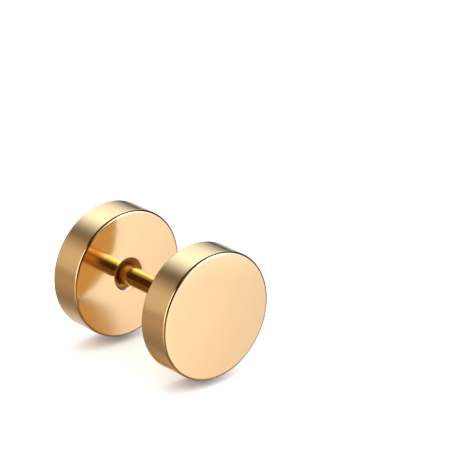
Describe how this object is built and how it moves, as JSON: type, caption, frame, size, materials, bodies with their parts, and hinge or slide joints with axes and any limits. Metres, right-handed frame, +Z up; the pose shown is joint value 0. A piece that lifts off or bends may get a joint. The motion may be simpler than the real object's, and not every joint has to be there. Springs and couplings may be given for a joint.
{
  "type": "fake plug earring",
  "caption": "Screw-on fake plug earring: polished gold-coloured round discs on the ends of a thin threaded post, with the gap for the ear lobe between them.",
  "frame": {"origin": "on the surface that the earring lies on, under the middle of the post", "axes": "+X along the post, out of the front disc's outer face; +Z up; +Y across"},
  "size_m": [0.0104, 0.008, 0.008],
  "materials": {
    "disc_gold": "gold-plated stainless steel, mirror polished",
    "post_gold": "gold-plated stainless steel, drawn smooth"
  },
  "bodies": {
    "front": {"front_disc": "disc_gold", "post": "post_gold"},
    "back": {"back_disc": "disc_gold"}
  },
  "joints": [
    {"name": "back_disc_off", "type": "slide", "parent": "front", "child": "back", "axis": [-1, 0, 0], "range_m": [0, 0.008]}
  ]
}
